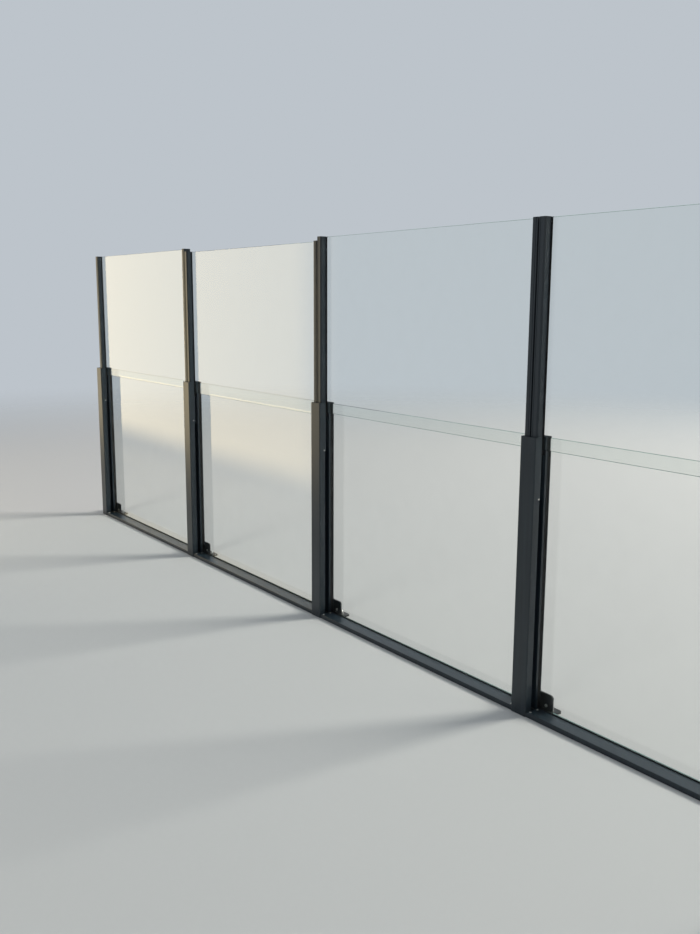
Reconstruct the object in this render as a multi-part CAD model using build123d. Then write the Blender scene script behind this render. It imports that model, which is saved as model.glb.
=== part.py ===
from build123d import *
import os

os.makedirs("parts", exist_ok=True)

# Axes: X runs along the row, Y points outward from the sheltered side, Z up.
# The origin is the underside of the middle post's foot. All sizes in millimetres.

# Row of bays
bay_count = 4
bay_pitch = 1415
post_count = bay_count + 1
middle_post = (post_count + 1) // 2

# Heights above the ground
casing_top = 1100
foot_height = 20
fixed_pane_top = 1096
stile_bottom = 860
stile_top = 1897
pane_overlap = 45
cap_thickness = 3

# Guide casing, open towards each bay through a tall slot
casing_width = 76
casing_front = -45
casing_wall = 2
casing_corner = 4
slot_front = -12
slot_back = 12
slot_bead = 2
web_thickness = 2

# Glazing bar behind the casing, with a groove for the fixed pane
bar_box_depth = 11
bar_groove_width = 19
bar_back_plate = 3
bar_spine_width = 28
bar_wall = 2

# Base rail on the ground between two posts, with a strip that the fixed pane stands on
rail_front = -41
rail_wall = 2
rail_corner = 3
strip_height = 4
strip_width = 12

# Glass
glass_thickness = 8
glass_arris = 1
fixed_pane_bite = 14
sliding_pane_y = 1.5
sliding_pane_bite = 12

# Sash stile
stile_web_gap = 3
stile_side_gap = 3
stile_front_gap = 9
stile_back_gap = 3
stile_wall = 2
stile_chamfer = 5.5
stile_groove_width = 11
stile_groove_bottom = 4
stile_line_width = 4
stile_line_depth = 1
stile_line_inset = 4.5

# Glides, clipped round each stile at two heights
glide_height = 40
lower_glide_above_stile_end = 20
upper_glide_below_casing_top = 20

# Foot: a block inside the casing with an upstand and a flange behind the post
foot_half_width = 100
foot_upstand_height = 85
foot_upstand_thickness = 6
foot_flange_depth = 60
foot_flange_thickness = 8
foot_corner = 12
anchor_spacing = 140
anchor_hole_radius = 5.5
anchor_behind_upstand = 30

# Fits
seat_clearance = 0.3
gasket_inset = 2
setting_block = 20

# How far each sash stands below its upper stop
sash_drop = [0, 18, 0, 0]

# Derived places
casing_half = casing_width / 2
chamber_half = casing_half - casing_wall
chamber_front = casing_front + casing_wall
web_half = web_thickness / 2
groove_front = slot_back + bar_box_depth
groove_back = groove_front + bar_groove_width
bar_back = groove_back + bar_back_plate
fixed_pane_y = (groove_front + groove_back) / 2
fixed_pane_edge = casing_half - fixed_pane_bite
fixed_pane_bottom = foot_height + strip_height
rail_top = foot_height - seat_clearance
rail_start = casing_half + seat_clearance
rail_end = bay_pitch - rail_start
stile_inner = web_half + stile_web_gap
stile_outer = chamber_half - stile_side_gap
stile_front = chamber_front + stile_front_gap
stile_back = slot_back - stile_back_gap
stile_groove_front = sliding_pane_y - stile_groove_width / 2
stile_groove_back = sliding_pane_y + stile_groove_width / 2
sliding_pane_edge = stile_outer - sliding_pane_bite
stile_spine_outer = sliding_pane_edge - stile_groove_bottom
sliding_pane_bottom = fixed_pane_top - pane_overlap
sliding_pane_top = stile_top - 2
foot_upstand_front = bar_back + seat_clearance
foot_back = foot_upstand_front + foot_flange_depth


def span(x_low, x_high, y_low, y_high):
    """Rectangle between two X and two Y places."""
    centre = Pos((x_low + x_high) / 2, (y_low + y_high) / 2)
    return centre * Rectangle(x_high - x_low, y_high - y_low)


def raise_from(section, z_low, z_high):
    """Extrude a flat section between two heights."""
    return Pos(0, 0, z_low) * extrude(section, amount=z_high - z_low)


def block(x_low, x_high, y_low, y_high, z_low, z_high):
    """Box between two places on each axis."""
    return raise_from(span(x_low, x_high, y_low, y_high), z_low, z_high)


def post_x(number):
    """Place of a post along the row."""
    return (number - middle_post) * bay_pitch


def has_bay(number, side):
    """Whether a bay joins a post on its left side, -1, or its right side, 1."""
    return 1 <= number + (side - 1) // 2 <= bay_count


def front_rounded(half_width, y_front, y_back, radius):
    """Rectangle about X=0 whose two front corners are rounded."""
    plain = span(-half_width, half_width, y_front, y_back)
    return fillet(plain.vertices().group_by(Axis.Y)[0], radius)


def casing(number):
    """Guide casing of one post, slotted on each side that has a bay."""
    outer = front_rounded(casing_half, casing_front, slot_front, casing_corner)
    inner = front_rounded(chamber_half, chamber_front, slot_front, casing_corner - casing_wall)
    section = outer - inner
    section += span(-web_half, web_half, casing_front + casing_wall / 2, slot_back)
    bead_inner = chamber_half - slot_bead
    for side in (-1, 1):
        bead = span(bead_inner, casing_half, slot_front - slot_bead, slot_front)
        closed = span(chamber_half, casing_half, slot_front, slot_back)
        edge = bead if has_bay(number, side) else closed
        section += edge if side > 0 else mirror(edge, Plane.YZ)
    solid = raise_from(section, 0, casing_top)
    notch = block(-chamber_half, chamber_half, chamber_front, slot_back + 1, 0, foot_height)
    return solid - notch


def glazing_bar(number):
    """Bar behind the casing: a flat box, a spine and a back plate with a groove for each bay."""
    section = span(-casing_half, casing_half, slot_back, groove_front)
    section -= span(-chamber_half, chamber_half, slot_back + bar_wall, groove_front - bar_wall)
    spine_half = bar_spine_width / 2
    section += span(-spine_half, spine_half, groove_front, groove_back)
    section -= span(-spine_half + bar_wall, spine_half - bar_wall, groove_front, groove_back)
    section += span(-casing_half, casing_half, groove_back, bar_back)
    for side in (-1, 1):
        closed = span(casing_half - bar_wall, casing_half, groove_front, groove_back)
        if not has_bay(number, side):
            section += closed if side > 0 else mirror(closed, Plane.YZ)
    return raise_from(section, foot_height, casing_top)


def foot():
    """Foot block inside the casing, with the upstand and drilled flange behind the post."""
    core = front_rounded(
        chamber_half - seat_clearance,
        chamber_front + seat_clearance,
        foot_upstand_front,
        casing_corner - casing_wall,
    )
    solid = raise_from(core, 0, foot_height - seat_clearance)
    upstand = Plane.XZ * Pos(0, foot_upstand_height / 2) * Rectangle(2 * foot_half_width, foot_upstand_height)
    upstand = fillet(upstand.vertices().group_by(Axis.Z)[-1], foot_corner)
    upstand = extrude(upstand, amount=-foot_upstand_thickness)
    solid += Pos(0, foot_upstand_front, 0) * upstand
    flange = span(-foot_half_width, foot_half_width, foot_upstand_front, foot_back)
    flange = fillet(flange.vertices().group_by(Axis.Y)[-1], foot_corner)
    anchor_y = foot_upstand_front + anchor_behind_upstand
    for side in (-1, 1):
        flange -= Pos(side * anchor_spacing / 2, anchor_y) * Circle(anchor_hole_radius)
    solid += raise_from(flange, 0, foot_flange_thickness)
    return solid


def base_rail():
    """Hollow rail between two posts, with a web under the fixed pane, from the left post's centre."""
    rail = block(rail_start, rail_end, rail_front, bar_back, 0, rail_top)
    front_edges = rail.edges().filter_by(Axis.X).group_by(Axis.Y)[0]
    rail = fillet(front_edges.sort_by(Axis.Z)[-1], rail_corner)
    web_front = fixed_pane_y - rail_wall / 2
    chambers = ((rail_front + rail_wall, web_front), (web_front + rail_wall, bar_back - rail_wall))
    for front, back in chambers:
        rail -= block(rail_start - 1, rail_end + 1, front, back, rail_wall, rail_top - rail_wall)
    return rail


def pane_strip():
    """Rubber strip on the base rail under the fixed pane, from the left post's centre."""
    half = strip_width / 2
    return block(rail_start, rail_end, fixed_pane_y - half, fixed_pane_y + half,
                 rail_top, fixed_pane_bottom - seat_clearance)


def stile_box():
    """Outline of the stile's front tube, chamfered at its outer front corner."""
    outline = span(stile_inner, stile_outer, stile_front, stile_groove_front)
    corner = outline.vertices().group_by(Axis.Y)[0].sort_by(Axis.X)[-1]
    return chamfer(corner, stile_chamfer)


def stile():
    """Stile that stands on the +X side of a post's centre, from its section."""
    spine = span(stile_inner, stile_spine_outer, stile_groove_front, stile_groove_back)
    lip = span(stile_inner, stile_outer, stile_groove_back, stile_back)
    outline = stile_box() + spine + lip
    line_x = stile_inner + stile_line_inset
    line = span(line_x, line_x + stile_line_width, stile_front, stile_front + stile_line_depth)
    tube = offset(stile_box(), -stile_wall)
    hollow = span(
        stile_inner + stile_wall,
        stile_spine_outer - stile_wall,
        stile_groove_front + stile_wall,
        stile_groove_back - stile_wall,
    )
    body = raise_from(outline - line - tube - hollow, stile_bottom, stile_top - cap_thickness)
    cap = raise_from(outline, stile_top - cap_thickness, stile_top)
    return body + cap


def glide():
    """Plastic shoe round the stile's front tube, running in the casing's chamber."""
    outer = front_rounded(
        chamber_half - seat_clearance,
        chamber_front + seat_clearance,
        slot_front - slot_bead - seat_clearance,
        casing_corner - casing_wall,
    )
    running = span(web_half + seat_clearance, casing_half, casing_front, slot_front)
    section = (outer & running) - stile_box()
    lower = stile_bottom + lower_glide_above_stile_end
    upper = casing_top - upper_glide_below_casing_top - glide_height
    return [raise_from(section, z, z + glide_height) for z in (lower, upper)]


def edge_gasket(outer, bottom, front, back, pane_edge, pane_y, z_low, z_pane, z_high):
    """U-shaped gasket round one upright edge of a pane, closed under the glass."""
    half = glass_thickness / 2 + seat_clearance
    strip = block(bottom, outer, front, back, z_low, z_high)
    glass = block(pane_edge - seat_clearance, outer + 1, pane_y - half, pane_y + half,
                  z_pane - seat_clearance, z_high + 1)
    return strip - glass


def fixed_gasket():
    """Gasket of the fixed pane at the +X side of a post."""
    return edge_gasket(
        casing_half - gasket_inset, bar_spine_width / 2, groove_front, groove_back,
        fixed_pane_edge, fixed_pane_y, foot_height, fixed_pane_bottom, fixed_pane_top,
    )


def sash_gasket():
    """Gasket of the sliding pane in the stile at the +X side of a post."""
    return edge_gasket(
        stile_outer - gasket_inset, stile_spine_outer, stile_groove_front, stile_groove_back,
        sliding_pane_edge, sliding_pane_y, sliding_pane_bottom - setting_block,
        sliding_pane_bottom, sliding_pane_top,
    )


def pane(edge, y, z_low, z_high):
    """Pane between two posts, with ground arrises, measured from the left post's centre."""
    half = glass_thickness / 2
    glass = block(edge, bay_pitch - edge, y - half, y + half, z_low, z_high)
    return chamfer(glass.edges(), glass_arris)


def at_both_posts(piece, left_x, drop=0):
    """A piece at the left post of a bay and its mirror image at the right post."""
    near = Pos(left_x, 0, -drop) * piece
    far = Pos(left_x + bay_pitch, 0, -drop) * mirror(piece, Plane.YZ)
    return near, far


def save(name, *solids):
    """Write one sub-part."""
    shape = solids[0] if len(solids) == 1 else Compound(children=list(solids))
    export_step(shape, f"parts/{name}.step")


# Posts
base = foot()
for post in range(1, post_count + 1):
    place = Pos(post_x(post), 0, 0)
    save(f"post_{post}_casing", place * casing(post))
    save(f"post_{post}_glazing_bar", place * glazing_bar(post))
    save(f"post_{post}_foot", place * base)

# Base rails and fixed lower panes
for bay in range(1, bay_count + 1):
    left_x = post_x(bay)
    left_post = Pos(left_x, 0, 0)
    save(f"base_rail_{bay}", left_post * base_rail())
    glass = pane(fixed_pane_edge, fixed_pane_y, fixed_pane_bottom, fixed_pane_top)
    save(f"fixed_pane_{bay}", left_post * glass)
    upright_gaskets = at_both_posts(fixed_gasket(), left_x)
    save(f"fixed_pane_{bay}_gaskets", *upright_gaskets, left_post * pane_strip())

# Sliding upper sashes
for bay in range(1, bay_count + 1):
    left_x = post_x(bay)
    drop = sash_drop[bay - 1]
    glass = pane(sliding_pane_edge, sliding_pane_y, sliding_pane_bottom, sliding_pane_top)
    save(f"sash_{bay}_pane", Pos(left_x, 0, -drop) * glass)
    left_stile, right_stile = at_both_posts(stile(), left_x, drop)
    save(f"sash_{bay}_left_stile", left_stile)
    save(f"sash_{bay}_right_stile", right_stile)
    save(f"sash_{bay}_gaskets", *at_both_posts(sash_gasket(), left_x, drop))
    shoes = []
    for shoe in glide():
        shoes += at_both_posts(shoe, left_x, drop)
    save(f"sash_{bay}_glides", *shoes)
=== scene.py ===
import math

import bmesh
import bpy
from mathutils import Matrix, Vector


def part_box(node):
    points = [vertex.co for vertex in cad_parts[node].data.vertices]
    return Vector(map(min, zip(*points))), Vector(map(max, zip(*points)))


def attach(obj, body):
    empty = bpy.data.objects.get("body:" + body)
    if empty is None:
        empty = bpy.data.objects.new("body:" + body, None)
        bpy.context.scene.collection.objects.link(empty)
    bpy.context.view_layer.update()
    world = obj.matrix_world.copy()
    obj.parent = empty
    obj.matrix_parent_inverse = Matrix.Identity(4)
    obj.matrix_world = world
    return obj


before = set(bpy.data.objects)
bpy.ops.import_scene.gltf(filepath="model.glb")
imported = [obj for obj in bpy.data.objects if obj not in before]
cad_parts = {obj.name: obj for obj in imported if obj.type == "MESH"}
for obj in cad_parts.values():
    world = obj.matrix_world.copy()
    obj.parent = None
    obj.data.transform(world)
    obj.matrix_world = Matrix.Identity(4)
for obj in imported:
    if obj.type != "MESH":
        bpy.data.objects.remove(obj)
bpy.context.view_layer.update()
print("frame loaded:", len(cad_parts), "nodes")

mm = 0.001
bayCount = sum(name.startswith("base_rail_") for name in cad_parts)  # one rail in each bay
postCount = bayCount + 1
posts = range(1, postCount + 1)
bays = range(1, bayCount + 1)


# Shared helpers: colours, nodes and mesh pieces

def colour(hexText):  # sRGB hex to linear RGBA
    channels = [int(hexText[i:i + 2], 16) / 255 for i in (1, 3, 5)]
    return [c / 12.92 if c <= 0.04045 else ((c + 0.055) / 1.055) ** 2.4 for c in channels] + [1.0]


def addNode(tree, kind, settings=None, inputs=None, links=None, stops=()):
    # A node with its settings, values and links, and the two (position, colour) stops of a colour ramp
    node = tree.nodes.new(kind)
    for name, value in (settings or {}).items():
        setattr(node, name, value)
    for name, value in (inputs or {}).items():
        node.inputs[name].default_value = value
    for name, source in (links or {}).items():
        tree.links.new(source, node.inputs[name])
    for index, (position, value) in enumerate(stops):
        node.color_ramp.elements[index].position = position
        node.color_ramp.elements[index].color = value
    return node


def newMaterial(name):
    material = bpy.data.materials.new(name)
    material.use_nodes = True
    material.node_tree.nodes.clear()
    return material, material.node_tree


def objectPlace(tree, sizeMm, stretch=1):  # Object coordinates in steps of a real size, longer along Z
    place = addNode(tree, "ShaderNodeTexCoord").outputs["Object"]
    across = 1 / (sizeMm * mm)
    return addNode(tree, "ShaderNodeMapping", inputs={"Scale": (across, across, across / stretch)},
                   links={"Vector": place}).outputs[0]


def newObject(name, bm, material):
    mesh = bpy.data.meshes.new(name)
    bm.to_mesh(mesh)
    bm.free()
    mesh.materials.append(material)
    piece = bpy.data.objects.new(name, mesh)
    bpy.context.scene.collection.objects.link(piece)
    return piece


def dressPiece(name, bm, material, body, smoothBelow):  # shaded smooth, its sharper edges kept
    bm.normal_update()
    for face in bm.faces:
        face.smooth = True
    for edge in bm.edges:
        edge.smooth = edge.is_manifold and edge.calc_face_angle() < math.radians(smoothBelow)
    piece = newObject(name, bm, material)
    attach(piece, body)


def ringAt(bm, radius, height, sides):  # a loop of edges about the Z axis
    place = Matrix.Translation((0, 0, height))
    made = bmesh.ops.create_circle(bm, segments=sides, radius=radius, matrix=place)
    loop = set(made["verts"])
    return [e for e in bm.edges if e.verts[0] in loop and e.verts[1] in loop]


def hexagonAt(bm, acrossFlats, height):
    return ringAt(bm, acrossFlats / math.sqrt(3), height, 6)


def turned(bm, outline, sides, closed=False):  # walls about Z through (radius, height) pairs
    loops = [ringAt(bm, radius, height, sides) for radius, height in outline]
    following = loops[1:] + loops[:1] if closed else loops[1:]
    for low, high in zip(loops, following):
        bmesh.ops.bridge_loops(bm, edges=low + high)
    return loops


def copyInto(bm, tool, place):  # a finished small piece, put in its place in a larger mesh
    bmesh.ops.recalc_face_normals(tool, faces=tool.faces[:])
    mesh = bpy.data.meshes.new("tool")
    tool.to_mesh(mesh)
    mesh.transform(place)
    bm.from_mesh(mesh)
    bpy.data.meshes.remove(mesh)


def pointing(at, axis):  # a place whose own Z axis looks along a direction
    return Matrix.Translation(at) @ Vector(axis).to_track_quat("Z", "Y").to_matrix().to_4x4()


# Camera: the photograph's own place and angle

cameraSettings = {
    "at": (3.805, -2.62, 1.60),  # metres, at eye height
    "yaw": 0.938221,  # radians left of straight out
    "pitch": 0.177017,  # radians down
    "roll": 0.004531,
    "focalPixels": 934.965,
    "longSidePixels": 934,
    "sensor": 36,
    "nearest": 0.05, "farthest": 200,  # the range that it shows, in metres
}


def makeCamera(s):
    yaw, pitch, roll = s["yaw"], s["pitch"], s["roll"]
    ahead = Vector((-math.sin(yaw) * math.cos(pitch), math.cos(yaw) * math.cos(pitch), -math.sin(pitch)))
    right = ahead.cross(Vector((0, 0, 1))).normalized()
    up = right.cross(ahead)
    tiltedRight = math.cos(roll) * right + math.sin(roll) * up
    tiltedUp = -math.sin(roll) * right + math.cos(roll) * up
    data = bpy.data.cameras.new("camera")
    data.sensor_width = s["sensor"]
    data.lens = s["focalPixels"] / s["longSidePixels"] * s["sensor"]
    data.clip_start = s["nearest"]
    data.clip_end = s["farthest"]
    camera = bpy.data.objects.new("camera", data)
    turn = Matrix((tiltedRight, tiltedUp, -ahead)).transposed()
    camera.matrix_world = Matrix.Translation(s["at"]) @ turn.to_4x4()
    bpy.context.scene.collection.objects.link(camera)
    bpy.context.scene.camera = camera


makeCamera(cameraSettings)
print("camera placed")


# Materials

def powderCoat():
    # Polyester powder coat on extruded aluminium, anthracite grey, sprayed and oven-cured. Its fine
    # grit breaks the highlight up into a soft satin sheen, and rain leaves faint upright streaks.
    s = {
        "base": "#1a242b", "pale": "#232e35", "paleFrom": 0.35, "paleTo": 0.7,
        "gritMm": 1.6,  # drawn coarser than its real 0.3 mm, which is too fine to show
        "streakMm": 14, "streakStretch": 22,
        "roughLow": 0.26, "roughHigh": 0.38,
    }
    material, tree = newMaterial("anthracitePowderCoat")
    grit = addNode(tree, "ShaderNodeTexNoise", inputs={"Scale": 1, "Detail": 2, "Roughness": 0.6},
                   links={"Vector": objectPlace(tree, s["gritMm"])})
    streaks = addNode(tree, "ShaderNodeTexNoise", inputs={"Scale": 1, "Detail": 3, "Roughness": 0.55},
                      links={"Vector": objectPlace(tree, s["streakMm"], s["streakStretch"])})
    shade = addNode(tree, "ShaderNodeValToRGB", links={"Fac": streaks.outputs["Fac"]},
                    stops=[(s["paleFrom"], colour(s["base"])), (s["paleTo"], colour(s["pale"]))])
    rough = addNode(tree, "ShaderNodeMapRange", inputs={"To Min": s["roughLow"], "To Max": s["roughHigh"]},
                    links={"Value": streaks.outputs["Fac"]})
    bump = addNode(tree, "ShaderNodeBump", inputs={"Strength": 0.12, "Distance": 0.3 * mm},
                   links={"Height": grit.outputs["Fac"]})
    coat = addNode(tree, "ShaderNodeBsdfPrincipled", inputs={"IOR": 1.5},
                   links={"Base Color": shade.outputs["Color"], "Roughness": rough.outputs[0],
                          "Normal": bump.outputs[0]})
    addNode(tree, "ShaderNodeOutputMaterial", links={"Surface": coat.outputs[0]})
    return material


def footCoat():
    # Black powder coat over galvanised steel plate. Rougher than the profiles' coat, and greyed near
    # the ground by splashed dust.
    s = {
        "base": "#1d2022",
        "gritMm": 2.2,  # drawn coarser than its real 0.5 mm, which is too fine to show
        "dust": "#55524c", "dustMm": 18,
        "dustTop": 0.05, "dustMost": 0.55,  # metres above the ground, and its share there
    }
    material, tree = newMaterial("blackCoatedSteel")
    grit = addNode(tree, "ShaderNodeTexNoise", inputs={"Scale": 1, "Detail": 2},
                   links={"Vector": objectPlace(tree, s["gritMm"])})
    cloud = addNode(tree, "ShaderNodeTexNoise", inputs={"Scale": 1, "Detail": 4},
                    links={"Vector": objectPlace(tree, s["dustMm"])})
    place = addNode(tree, "ShaderNodeTexCoord").outputs["Object"]
    height = addNode(tree, "ShaderNodeSeparateXYZ", links={"Vector": place}).outputs["Z"]
    low = addNode(tree, "ShaderNodeMapRange",
                  inputs={"From Min": s["dustTop"], "From Max": 0.0, "To Max": s["dustMost"]},
                  links={"Value": height})
    share = addNode(tree, "ShaderNodeMath", settings={"operation": "MULTIPLY"},
                    links={0: low.outputs[0], 1: cloud.outputs["Fac"]})
    shade = addNode(tree, "ShaderNodeMix", settings={"data_type": "RGBA"},
                    inputs={6: colour(s["base"]), 7: colour(s["dust"])}, links={0: share.outputs[0]})
    bump = addNode(tree, "ShaderNodeBump", inputs={"Strength": 0.25, "Distance": 0.4 * mm},
                   links={"Height": grit.outputs["Fac"]})
    coat = addNode(tree, "ShaderNodeBsdfPrincipled", inputs={"IOR": 1.5, "Roughness": 0.5},
                   links={"Base Color": shade.outputs[2], "Normal": bump.outputs[0]})
    addNode(tree, "ShaderNodeOutputMaterial", links={"Surface": coat.outputs[0]})
    return material


def toughenedGlass():
    # Clear float glass, toughened, with ground and polished edges. The faces are nearly colourless, and
    # the edges are green, because one looks along the sheet there. A thin dust film dulls it a little.
    s = {
        "face": "#fbfefc", "edge": "#6fb59a",
        "edgeTo": 0.8, "faceFrom": 0.95,  # how much of a surface looks to the front or back
        "lampTint": "#f8fbfa",
        "dust": "#d9d8d2", "dustMm": 90, "dustFrom": 0.4, "dustTo": 0.9, "dustMost": 0.015,
    }
    material, tree = newMaterial("toughenedClearGlass")
    normal = addNode(tree, "ShaderNodeNewGeometry").outputs["True Normal"]
    outward = addNode(tree, "ShaderNodeSeparateXYZ", links={"Vector": normal}).outputs["Y"]
    facing = addNode(tree, "ShaderNodeMath", settings={"operation": "ABSOLUTE"}, links={0: outward})
    tint = addNode(tree, "ShaderNodeValToRGB", links={"Fac": facing.outputs[0]},
                   stops=[(s["edgeTo"], colour(s["edge"])), (s["faceFrom"], colour(s["face"]))])
    glass = addNode(tree, "ShaderNodeBsdfPrincipled",
                    inputs={"IOR": 1.5, "Roughness": 0.0, "Transmission Weight": 1.0},
                    links={"Base Color": tint.outputs["Color"]})
    film = addNode(tree, "ShaderNodeTexNoise", inputs={"Scale": 1, "Detail": 5, "Roughness": 0.6},
                   links={"Vector": objectPlace(tree, s["dustMm"])})
    amount = addNode(tree, "ShaderNodeMapRange",
                     inputs={"From Min": s["dustFrom"], "From Max": s["dustTo"], "To Max": s["dustMost"]},
                     links={"Value": film.outputs["Fac"]})
    dust = addNode(tree, "ShaderNodeBsdfDiffuse", inputs={"Color": colour(s["dust"])})
    dusty = addNode(tree, "ShaderNodeMixShader",
                    links={0: amount.outputs[0], 1: glass.outputs[0], 2: dust.outputs[0]})
    passing = addNode(tree, "ShaderNodeBsdfTransparent", inputs={"Color": colour(s["lampTint"])})
    rays = addNode(tree, "ShaderNodeLightPath").outputs
    bounced = addNode(tree, "ShaderNodeMixShader",  # light gathered by matt surfaces counts once
                      links={0: rays["Is Diffuse Ray"], 1: dusty.outputs[0], 2: passing.outputs[0]})
    surface = addNode(tree, "ShaderNodeMixShader",  # lets the lamps through the sheet
                      links={0: rays["Is Shadow Ray"], 1: bounced.outputs[0], 2: passing.outputs[0]})
    addNode(tree, "ShaderNodeOutputMaterial", links={"Surface": surface.outputs[0]})
    return material


def gasketRubber():
    # Extruded EPDM rubber, black, matt, with a chalky bloom where it has weathered.
    s = {
        "base": "#0f1011",
        "grainMm": 2.5,  # drawn coarser than the real grain, which is under 1 mm
        "bloom": "#26282a", "bloomFrom": 0.4, "bloomTo": 0.8, "bloomMm": 40,
    }
    material, tree = newMaterial("epdmGasketRubber")
    bloom = addNode(tree, "ShaderNodeTexNoise", inputs={"Scale": 1, "Detail": 4},
                    links={"Vector": objectPlace(tree, s["bloomMm"])})
    grain = addNode(tree, "ShaderNodeTexNoise", inputs={"Scale": 1, "Detail": 1},
                    links={"Vector": objectPlace(tree, s["grainMm"])})
    shade = addNode(tree, "ShaderNodeValToRGB", links={"Fac": bloom.outputs["Fac"]},
                    stops=[(s["bloomFrom"], colour(s["base"])), (s["bloomTo"], colour(s["bloom"]))])
    bump = addNode(tree, "ShaderNodeBump", inputs={"Strength": 0.2, "Distance": 0.2 * mm},
                   links={"Height": grain.outputs["Fac"]})
    rubber = addNode(tree, "ShaderNodeBsdfPrincipled", inputs={"IOR": 1.5, "Roughness": 0.72},
                     links={"Base Color": shade.outputs["Color"], "Normal": bump.outputs[0]})
    addNode(tree, "ShaderNodeOutputMaterial", links={"Surface": rubber.outputs[0]})
    return material


def glideNylon():
    # Moulded black polyamide with a fine spark-eroded grain, slightly polished where it slides.
    s = {
        "base": "#141516", "worn": "#232526", "wornFrom": 0.4, "wornTo": 0.75, "wearMm": 12,
        "roughNew": 0.55, "roughWorn": 0.35,
    }
    material, tree = newMaterial("blackPolyamide")
    wear = addNode(tree, "ShaderNodeTexNoise", inputs={"Scale": 1, "Detail": 3},
                   links={"Vector": objectPlace(tree, s["wearMm"])})
    shade = addNode(tree, "ShaderNodeValToRGB", links={"Fac": wear.outputs["Fac"]},
                    stops=[(s["wornFrom"], colour(s["base"])), (s["wornTo"], colour(s["worn"]))])
    rough = addNode(tree, "ShaderNodeMapRange", inputs={"To Min": s["roughNew"], "To Max": s["roughWorn"]},
                    links={"Value": wear.outputs["Fac"]})
    nylon = addNode(tree, "ShaderNodeBsdfPrincipled", inputs={"IOR": 1.53},
                    links={"Base Color": shade.outputs["Color"], "Roughness": rough.outputs[0]})
    addNode(tree, "ShaderNodeOutputMaterial", links={"Surface": nylon.outputs[0]})
    return material


def stainlessSteel():
    # Cold-formed stainless steel, lightly tumbled: bright, with a fine mottle in its reflections.
    s = {
        "base": "#c9c8c4",
        "mottleMm": 3,  # drawn coarser than the real tumbling marks, which are under 1 mm
        "roughLow": 0.2, "roughHigh": 0.38,
    }
    material, tree = newMaterial("stainlessSteel")
    mottle = addNode(tree, "ShaderNodeTexNoise", inputs={"Scale": 1, "Detail": 3},
                     links={"Vector": objectPlace(tree, s["mottleMm"])})
    rough = addNode(tree, "ShaderNodeMapRange", inputs={"To Min": s["roughLow"], "To Max": s["roughHigh"]},
                    links={"Value": mottle.outputs["Fac"]})
    steel = addNode(tree, "ShaderNodeBsdfPrincipled",
                    inputs={"Base Color": colour(s["base"]), "Metallic": 1.0},
                    links={"Roughness": rough.outputs[0]})
    addNode(tree, "ShaderNodeOutputMaterial", links={"Surface": steel.outputs[0]})
    return material


coat = powderCoat()
blackCoat = footCoat()
glass = toughenedGlass()
rubber = gasketRubber()
nylon = glideNylon()
stainless = stainlessSteel()


# The CAD nodes take the material that their name calls for
finishes = {
    "casing": coat, "glazing_bar": coat, "left_stile": coat, "right_stile": coat,
    "base_rail": coat, "foot": blackCoat, "gaskets": rubber, "glides": nylon,
}
for name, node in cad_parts.items():
    word = next((w for w in finishes if w in name), None)
    node.data.materials.clear()
    node.data.materials.append(finishes[word] if word else glass)
print("materials given to the CAD nodes")


# Small fasteners, each made with its seat at Z = 0

buttonShape = {
    "rim": 0.12, "socketDepth": 0.6,  # shares of the head's height
    "flat": 0.55,  # the top's share of its radius
    "domeSteps": 5,
}
nutShape = {
    "endCircle": 0.46,  # share of the width across flats
    "lean": 0.08,  # share of the height that the corners fall away
    "sides": 24,
}
washerShape = {"soft": 0.2, "sides": 28}  # the softened rims' share of the thickness
threadShape = {
    "root": 0.25, "crest": 0.75,  # shares of the pitch
    "tip": 1.6,  # thread depths taken off the radius at the end
    "sides": 20,
}
fastenerSmoothBelow = 35  # degrees


def buttonScrew(s):  # domed head with a hexagonal socket
    bm = bmesh.new()
    shape = buttonShape
    flat = shape["flat"] * s["radius"]
    outline = [(s["radius"], 0), (s["radius"], shape["rim"] * s["height"])]
    for i in range(1, shape["domeSteps"] + 1):
        turn = math.pi / 2 * i / shape["domeSteps"]
        outline.append((flat + (s["radius"] - flat) * math.cos(turn),
                        s["height"] * (shape["rim"] + (1 - shape["rim"]) * math.sin(turn))))
    loops = turned(bm, outline, s["sides"])
    bmesh.ops.contextual_create(bm, geom=loops[0])
    socketTop = hexagonAt(bm, s["socket"], outline[-1][1])
    bmesh.ops.bridge_loops(bm, edges=loops[-1] + socketTop)
    socketFloor = hexagonAt(bm, s["socket"], outline[-1][1] - shape["socketDepth"] * s["height"])
    bmesh.ops.bridge_loops(bm, edges=socketTop + socketFloor)
    bmesh.ops.contextual_create(bm, geom=socketFloor)
    return bm


def hexNut(s):  # chamfered nut
    bm = bmesh.new()
    circle = nutShape["endCircle"] * s["across"]
    lean = nutShape["lean"] * s["height"]
    body = [hexagonAt(bm, s["across"], lean), hexagonAt(bm, s["across"], s["height"] - lean)]
    ends = [ringAt(bm, circle, height, nutShape["sides"]) for height in (0, s["height"])]
    bmesh.ops.bridge_loops(bm, edges=body[0] + body[1])
    for hexagon, end in zip(body, ends):
        bmesh.ops.bridge_loops(bm, edges=hexagon + end)
        bmesh.ops.contextual_create(bm, geom=end)
    return bm


def washer(s):  # flat ring with softened rims
    bm = bmesh.new()
    outer, inner, t = s["washerRadius"], s["boreRadius"], s["washerThickness"]
    soft = washerShape["soft"] * t
    outline = [(inner, 0), (outer - soft, 0), (outer, soft), (outer, t - soft), (outer - soft, t), (inner, t)]
    turned(bm, outline, washerShape["sides"], closed=True)
    return bm


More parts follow.
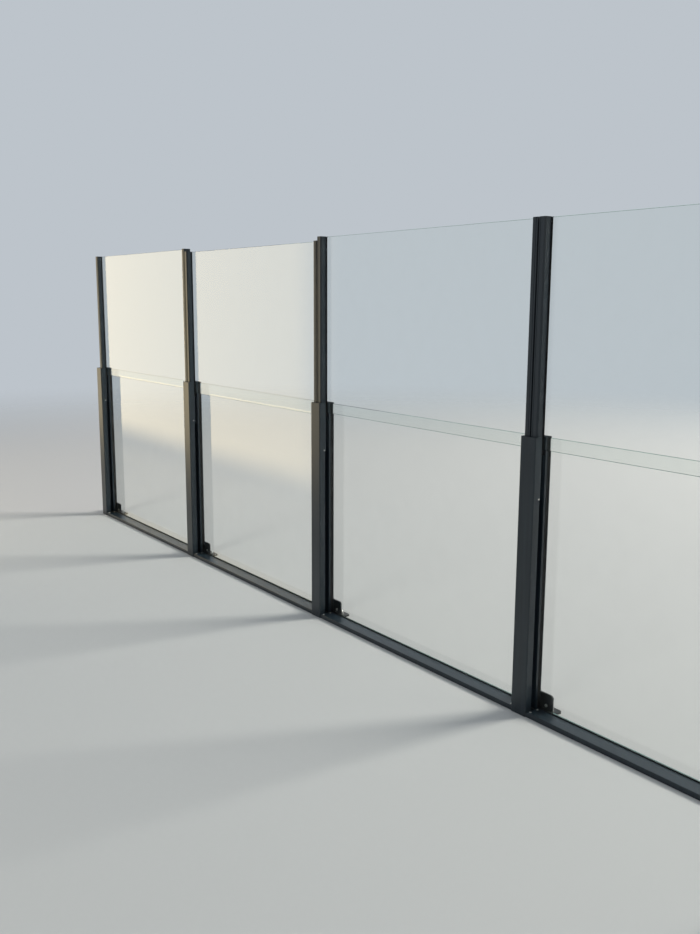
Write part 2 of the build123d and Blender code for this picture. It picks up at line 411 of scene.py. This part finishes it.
def stud(s):  # threaded end with a tapered tip
    bm = bmesh.new()
    outline = [(s["radius"], 0)]
    turns = int(s["length"] / s["threadPitch"])
    for i in range(turns):
        base = i * s["threadPitch"]
        outline += [(s["radius"] - s["threadDepth"], base + threadShape["root"] * s["threadPitch"]),
                    (s["radius"], base + threadShape["crest"] * s["threadPitch"])]
    outline.append((s["radius"] - threadShape["tip"] * s["threadDepth"], turns * s["threadPitch"]))
    loops = turned(bm, outline, threadShape["sides"])
    for end in (loops[0], loops[-1]):
        bmesh.ops.contextual_create(bm, geom=end)
    return bm


casingScrewSettings = {
    "radius": 3.8 * mm, "height": 2.2 * mm, "socket": 2.5 * mm, "sides": 20,  # M4 button head
    "aboveGround": 864 * mm,
    "behindFront": 28.5 * mm,  # from the casing's front face
}
railScrewSettings = {
    "radius": 4.75 * mm, "height": 2.7 * mm, "socket": 3 * mm, "sides": 22,  # M5 button head
    "fromEnd": 12 * mm, "behindFront": (13 * mm, 52 * mm),
}
anchorSettings = {
    "spacing": 140 * mm, "behindUpstand": 30 * mm, "flange": 8 * mm,  # the foot's own holes
    "upstandGap": 0.3 * mm,  # between the glazing bar and the upstand
    "across": 17 * mm, "height": 8.4 * mm,  # M10 nut
    "washerRadius": 10 * mm, "boreRadius": 5.2 * mm, "washerThickness": 2 * mm,
    "radius": 5 * mm, "length": 21 * mm, "threadPitch": 1.5 * mm, "threadDepth": 0.6 * mm,
    "turnBySide": 14, "turnByPost": 9,  # degrees, so that no two nuts stand alike
}
upstandBoltSettings = {
    "x": 68 * mm, "z": 37 * mm, "upstand": 6 * mm,
    "radius": 7 * mm, "height": 4.4 * mm, "socket": 5 * mm, "sides": 28,  # M8 button head
    "nutAcross": 13 * mm, "nutHeight": 6.5 * mm,
}


def casingScrews(post, s):  # one on each side that faces a bay
    low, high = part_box(f"post_{post}_casing")
    bm = bmesh.new()
    tool = buttonScrew(s)
    for side, face, bay in ((-1, low.x, post - 1), (1, high.x, post)):
        if bay in bays:
            at = (face, low.y + s["behindFront"], s["aboveGround"])
            copyInto(bm, tool, pointing(at, (side, 0, 0)))
    tool.free()
    dressPiece(f"post_{post}_casing_screws", bm, stainless, "frame", fastenerSmoothBelow)


def footFasteners(post, anchor, bolt):
    low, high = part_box(f"post_{post}_foot")
    centreX = (low.x + high.x) / 2
    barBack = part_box(f"post_{post}_glazing_bar")[1].y
    upstandFront = barBack + anchor["upstandGap"]
    holeY = upstandFront + anchor["behindUpstand"]
    bm = bmesh.new()
    nutTool, washerTool, studTool, boltTool = hexNut(anchor), washer(anchor), stud(anchor), buttonScrew(bolt)
    smallNut = hexNut({"across": bolt["nutAcross"], "height": bolt["nutHeight"]})
    for side in (-1, 1):
        at = Vector((centreX + side * anchor["spacing"] / 2, holeY, anchor["flange"]))
        copyInto(bm, washerTool, Matrix.Translation(at))
        top = at + Vector((0, 0, anchor["washerThickness"]))
        turn = math.radians(anchor["turnBySide"] * side + anchor["turnByPost"] * post)
        copyInto(bm, nutTool, Matrix.Translation(top) @ Matrix.Rotation(turn, 4, "Z"))
        copyInto(bm, studTool, Matrix.Translation(at))
        x = centreX + side * bolt["x"]
        copyInto(bm, boltTool, pointing((x, upstandFront, bolt["z"]), (0, -1, 0)))
        copyInto(bm, smallNut, pointing((x, upstandFront + bolt["upstand"], bolt["z"]), (0, 1, 0)))
    for tool in (nutTool, washerTool, studTool, boltTool, smallNut):
        tool.free()
    dressPiece(f"post_{post}_foot_fasteners", bm, stainless, "frame", fastenerSmoothBelow)


def railScrews(bay, s):  # two at each end, through the rail's top into the ground
    low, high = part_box(f"base_rail_{bay}")
    bm = bmesh.new()
    tool = buttonScrew(s)
    for x in (low.x + s["fromEnd"], high.x - s["fromEnd"]):
        for behind in s["behindFront"]:
            copyInto(bm, tool, Matrix.Translation((x, low.y + behind, high.z)))
    tool.free()
    dressPiece(f"base_rail_{bay}_screws", bm, stainless, "frame", fastenerSmoothBelow)


for post in posts:
    casingScrews(post, casingScrewSettings)
    footFasteners(post, anchorSettings, upstandBoltSettings)
for bay in bays:
    railScrews(bay, railScrewSettings)
print("fasteners made")


# Rounded gasket lips that press on the glass

fixedLipSettings = {
    "reach": 4.5 * mm,  # out of the gasket, towards the middle of the bay
    "gap": 0.1 * mm,  # left at the glass
    "inset": 2 * mm,  # the gaskets stop this far inside the profiles' faces
    "steps": 6, "smoothBelow": 40,
}
sashLipSettings = {**fixedLipSettings, "reach": 5 * mm}


def lip(bm, x, reach, yLow, yHigh, heights, steps):  # half-round bead along one side of the glass
    centreY = (yLow + yHigh) / 2
    half = (yHigh - yLow) / 2
    turns = [math.pi * i / steps for i in range(steps + 1)]
    edges = []
    for z in heights:
        rim = [bm.verts.new((x + reach * math.sin(t), centreY - half * math.cos(t), z)) for t in turns]
        edges += bm.faces.new(rim).edges
    bmesh.ops.bridge_loops(bm, edges=edges)


def gasketLips(group, pane, profiles, body, s):  # in front of and behind the pane, at both upright edges
    low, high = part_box(f"{group}_gaskets")
    paneFront, paneBack = (corner.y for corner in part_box(pane))
    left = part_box(profiles[0])[1].x - s["inset"]
    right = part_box(profiles[1])[0].x + s["inset"]
    bm = bmesh.new()
    for x, reach in ((left, s["reach"]), (right, -s["reach"])):
        for yLow, yHigh in ((low.y, paneFront - s["gap"]), (paneBack + s["gap"], high.y)):
            lip(bm, x, reach, yLow, yHigh, (low.z, high.z), s["steps"])
    bmesh.ops.recalc_face_normals(bm, faces=bm.faces[:])
    dressPiece(f"{group}_gasket_lips", bm, rubber, body, s["smoothBelow"])


for bay in bays:
    casings = (f"post_{bay}_casing", f"post_{bay + 1}_casing")
    stiles = (f"sash_{bay}_left_stile", f"sash_{bay}_right_stile")
    gasketLips(f"fixed_pane_{bay}", f"fixed_pane_{bay}", casings, "frame", fixedLipSettings)
    gasketLips(f"sash_{bay}", f"sash_{bay}_pane", stiles, f"sash_{bay}", sashLipSettings)
print("gasket lips made")


# Floor, sky and lights, in metres

floorSettings = {"tint": "#cecdcb", "half": 60, "fadeStart": 5.0, "fadeEnd": 14, "rough": 0.85}
skySettings = {
    "tint": "#d8e0e8", "dimTint": "#959da5", "strength": 0.74,
    "axis": (-0.9, 0.44, 0),  # towards its brighter side
    "dimTo": -0.9, "brightFrom": 0.6,  # how far along that axis a direction points
}
cardSettings = {
    "centre": (-4.9, -1.5, 1.2), "size": (6.0, 2.4), "tint": "#f2dfb6", "power": 3.3,
    "solid": 0.75,  # the share of its size inside which it doesn't fade
}
keySettings = {"at": (5.2, 14.7, 10.4), "aim": (0.4, 0, 0.8), "size": 5.4, "power": 2900, "tint": "#fffaf3"}
fillSettings = {"at": (6.5, -7.5, 4.5), "aim": (-1.0, 0, 0.9), "size": 5.0, "power": 60, "tint": "#f4ead9"}


def makeFloor(s):  # a pale floor that fades out before the horizon
    material, tree = newMaterial("paleFloor")
    place = addNode(tree, "ShaderNodeTexCoord").outputs["Object"]
    far = addNode(tree, "ShaderNodeVectorMath", settings={"operation": "LENGTH"}, links={0: place})
    fade = addNode(tree, "ShaderNodeMapRange", settings={"interpolation_type": "SMOOTHSTEP"},
                   inputs={"From Min": s["fadeStart"], "From Max": s["fadeEnd"]},
                   links={"Value": far.outputs["Value"]})
    paint = addNode(tree, "ShaderNodeBsdfPrincipled",
                    inputs={"Base Color": colour(s["tint"]), "Roughness": s["rough"]})
    clear = addNode(tree, "ShaderNodeBsdfTransparent")
    surface = addNode(tree, "ShaderNodeMixShader",
                      links={0: fade.outputs[0], 1: paint.outputs[0], 2: clear.outputs[0]})
    addNode(tree, "ShaderNodeOutputMaterial", links={"Surface": surface.outputs[0]})
    bm = bmesh.new()
    bmesh.ops.create_grid(bm, x_segments=1, y_segments=1, size=s["half"])
    floor = newObject("floor", bm, material)


def makeSky(s):  # plain and soft, brighter on one side
    world = bpy.data.worlds.new("studio")
    bpy.context.scene.world = world
    world.use_nodes = True
    tree = world.node_tree
    tree.nodes.clear()
    direction = addNode(tree, "ShaderNodeTexCoord").outputs["Generated"]
    facing = addNode(tree, "ShaderNodeVectorMath", settings={"operation": "DOT_PRODUCT"},
                     inputs={1: s["axis"]}, links={0: direction})
    share = addNode(tree, "ShaderNodeMapRange", inputs={"From Min": s["dimTo"], "From Max": s["brightFrom"]},
                    links={"Value": facing.outputs["Value"]})
    sky = addNode(tree, "ShaderNodeValToRGB", links={"Fac": share.outputs[0]},
                  stops=[(0.0, colour(s["dimTint"])), (1.0, colour(s["tint"]))])
    light = addNode(tree, "ShaderNodeBackground", inputs={"Strength": s["strength"]},
                    links={"Color": sky.outputs["Color"]})
    addNode(tree, "ShaderNodeOutputWorld", links={"Surface": light.outputs[0]})


def makeCard(s):  # a warm card in front of the left bays, seen only as their soft reflection
    across, up = s["size"][0] / 2, s["size"][1] / 2
    material, tree = newMaterial("warmCard")
    place = addNode(tree, "ShaderNodeTexCoord").outputs["Object"]
    axes = addNode(tree, "ShaderNodeSeparateXYZ", links={"Vector": place}).outputs
    shares = []
    for axis, half in (("X", across), ("Z", up)):
        away = addNode(tree, "ShaderNodeMath", settings={"operation": "ABSOLUTE"}, links={0: axes[axis]})
        shares.append(addNode(tree, "ShaderNodeMapRange", settings={"interpolation_type": "SMOOTHSTEP"},
                              inputs={"From Min": half, "From Max": s["solid"] * half},
                              links={"Value": away.outputs[0]}).outputs[0])
    share = addNode(tree, "ShaderNodeMath", settings={"operation": "MULTIPLY"},
                    links={0: shares[0], 1: shares[1]})
    glow = addNode(tree, "ShaderNodeEmission", inputs={"Color": colour(s["tint"]), "Strength": s["power"]})
    clear = addNode(tree, "ShaderNodeBsdfTransparent")
    surface = addNode(tree, "ShaderNodeMixShader",
                      links={0: share.outputs[0], 1: clear.outputs[0], 2: glow.outputs[0]})
    addNode(tree, "ShaderNodeOutputMaterial", links={"Surface": surface.outputs[0]})
    bm = bmesh.new()
    corners = ((-across, -up), (across, -up), (across, up), (-across, up))
    bm.faces.new([bm.verts.new((x, 0, z)) for x, z in corners])
    card = newObject("softCard", bm, material)
    card.location = s["centre"]
    card.visible_camera = card.visible_diffuse = card.visible_transmission = card.visible_shadow = False


def makeLamp(name, s):
    data = bpy.data.lights.new(name, "AREA")
    data.shape = "RECTANGLE"
    data.size = data.size_y = s["size"]
    data.energy = s["power"]
    data.color = colour(s["tint"])[:3]
    lamp = bpy.data.objects.new(name, data)
    turn = (Vector(s["aim"]) - Vector(s["at"])).to_track_quat("-Z", "Y").to_matrix().to_4x4()
    lamp.matrix_world = Matrix.Translation(s["at"]) @ turn
    lamp.visible_transmission = False  # the glass lets the lamps through by its shadow rays alone
    bpy.context.scene.collection.objects.link(lamp)


makeFloor(floorSettings)
makeSky(skySettings)
makeCard(cardSettings)
makeLamp("keyLight", keySettings)
makeLamp("fillLight", fillSettings)
bpy.context.scene.view_settings.view_transform = "Standard"
print("floor, sky and lights placed")
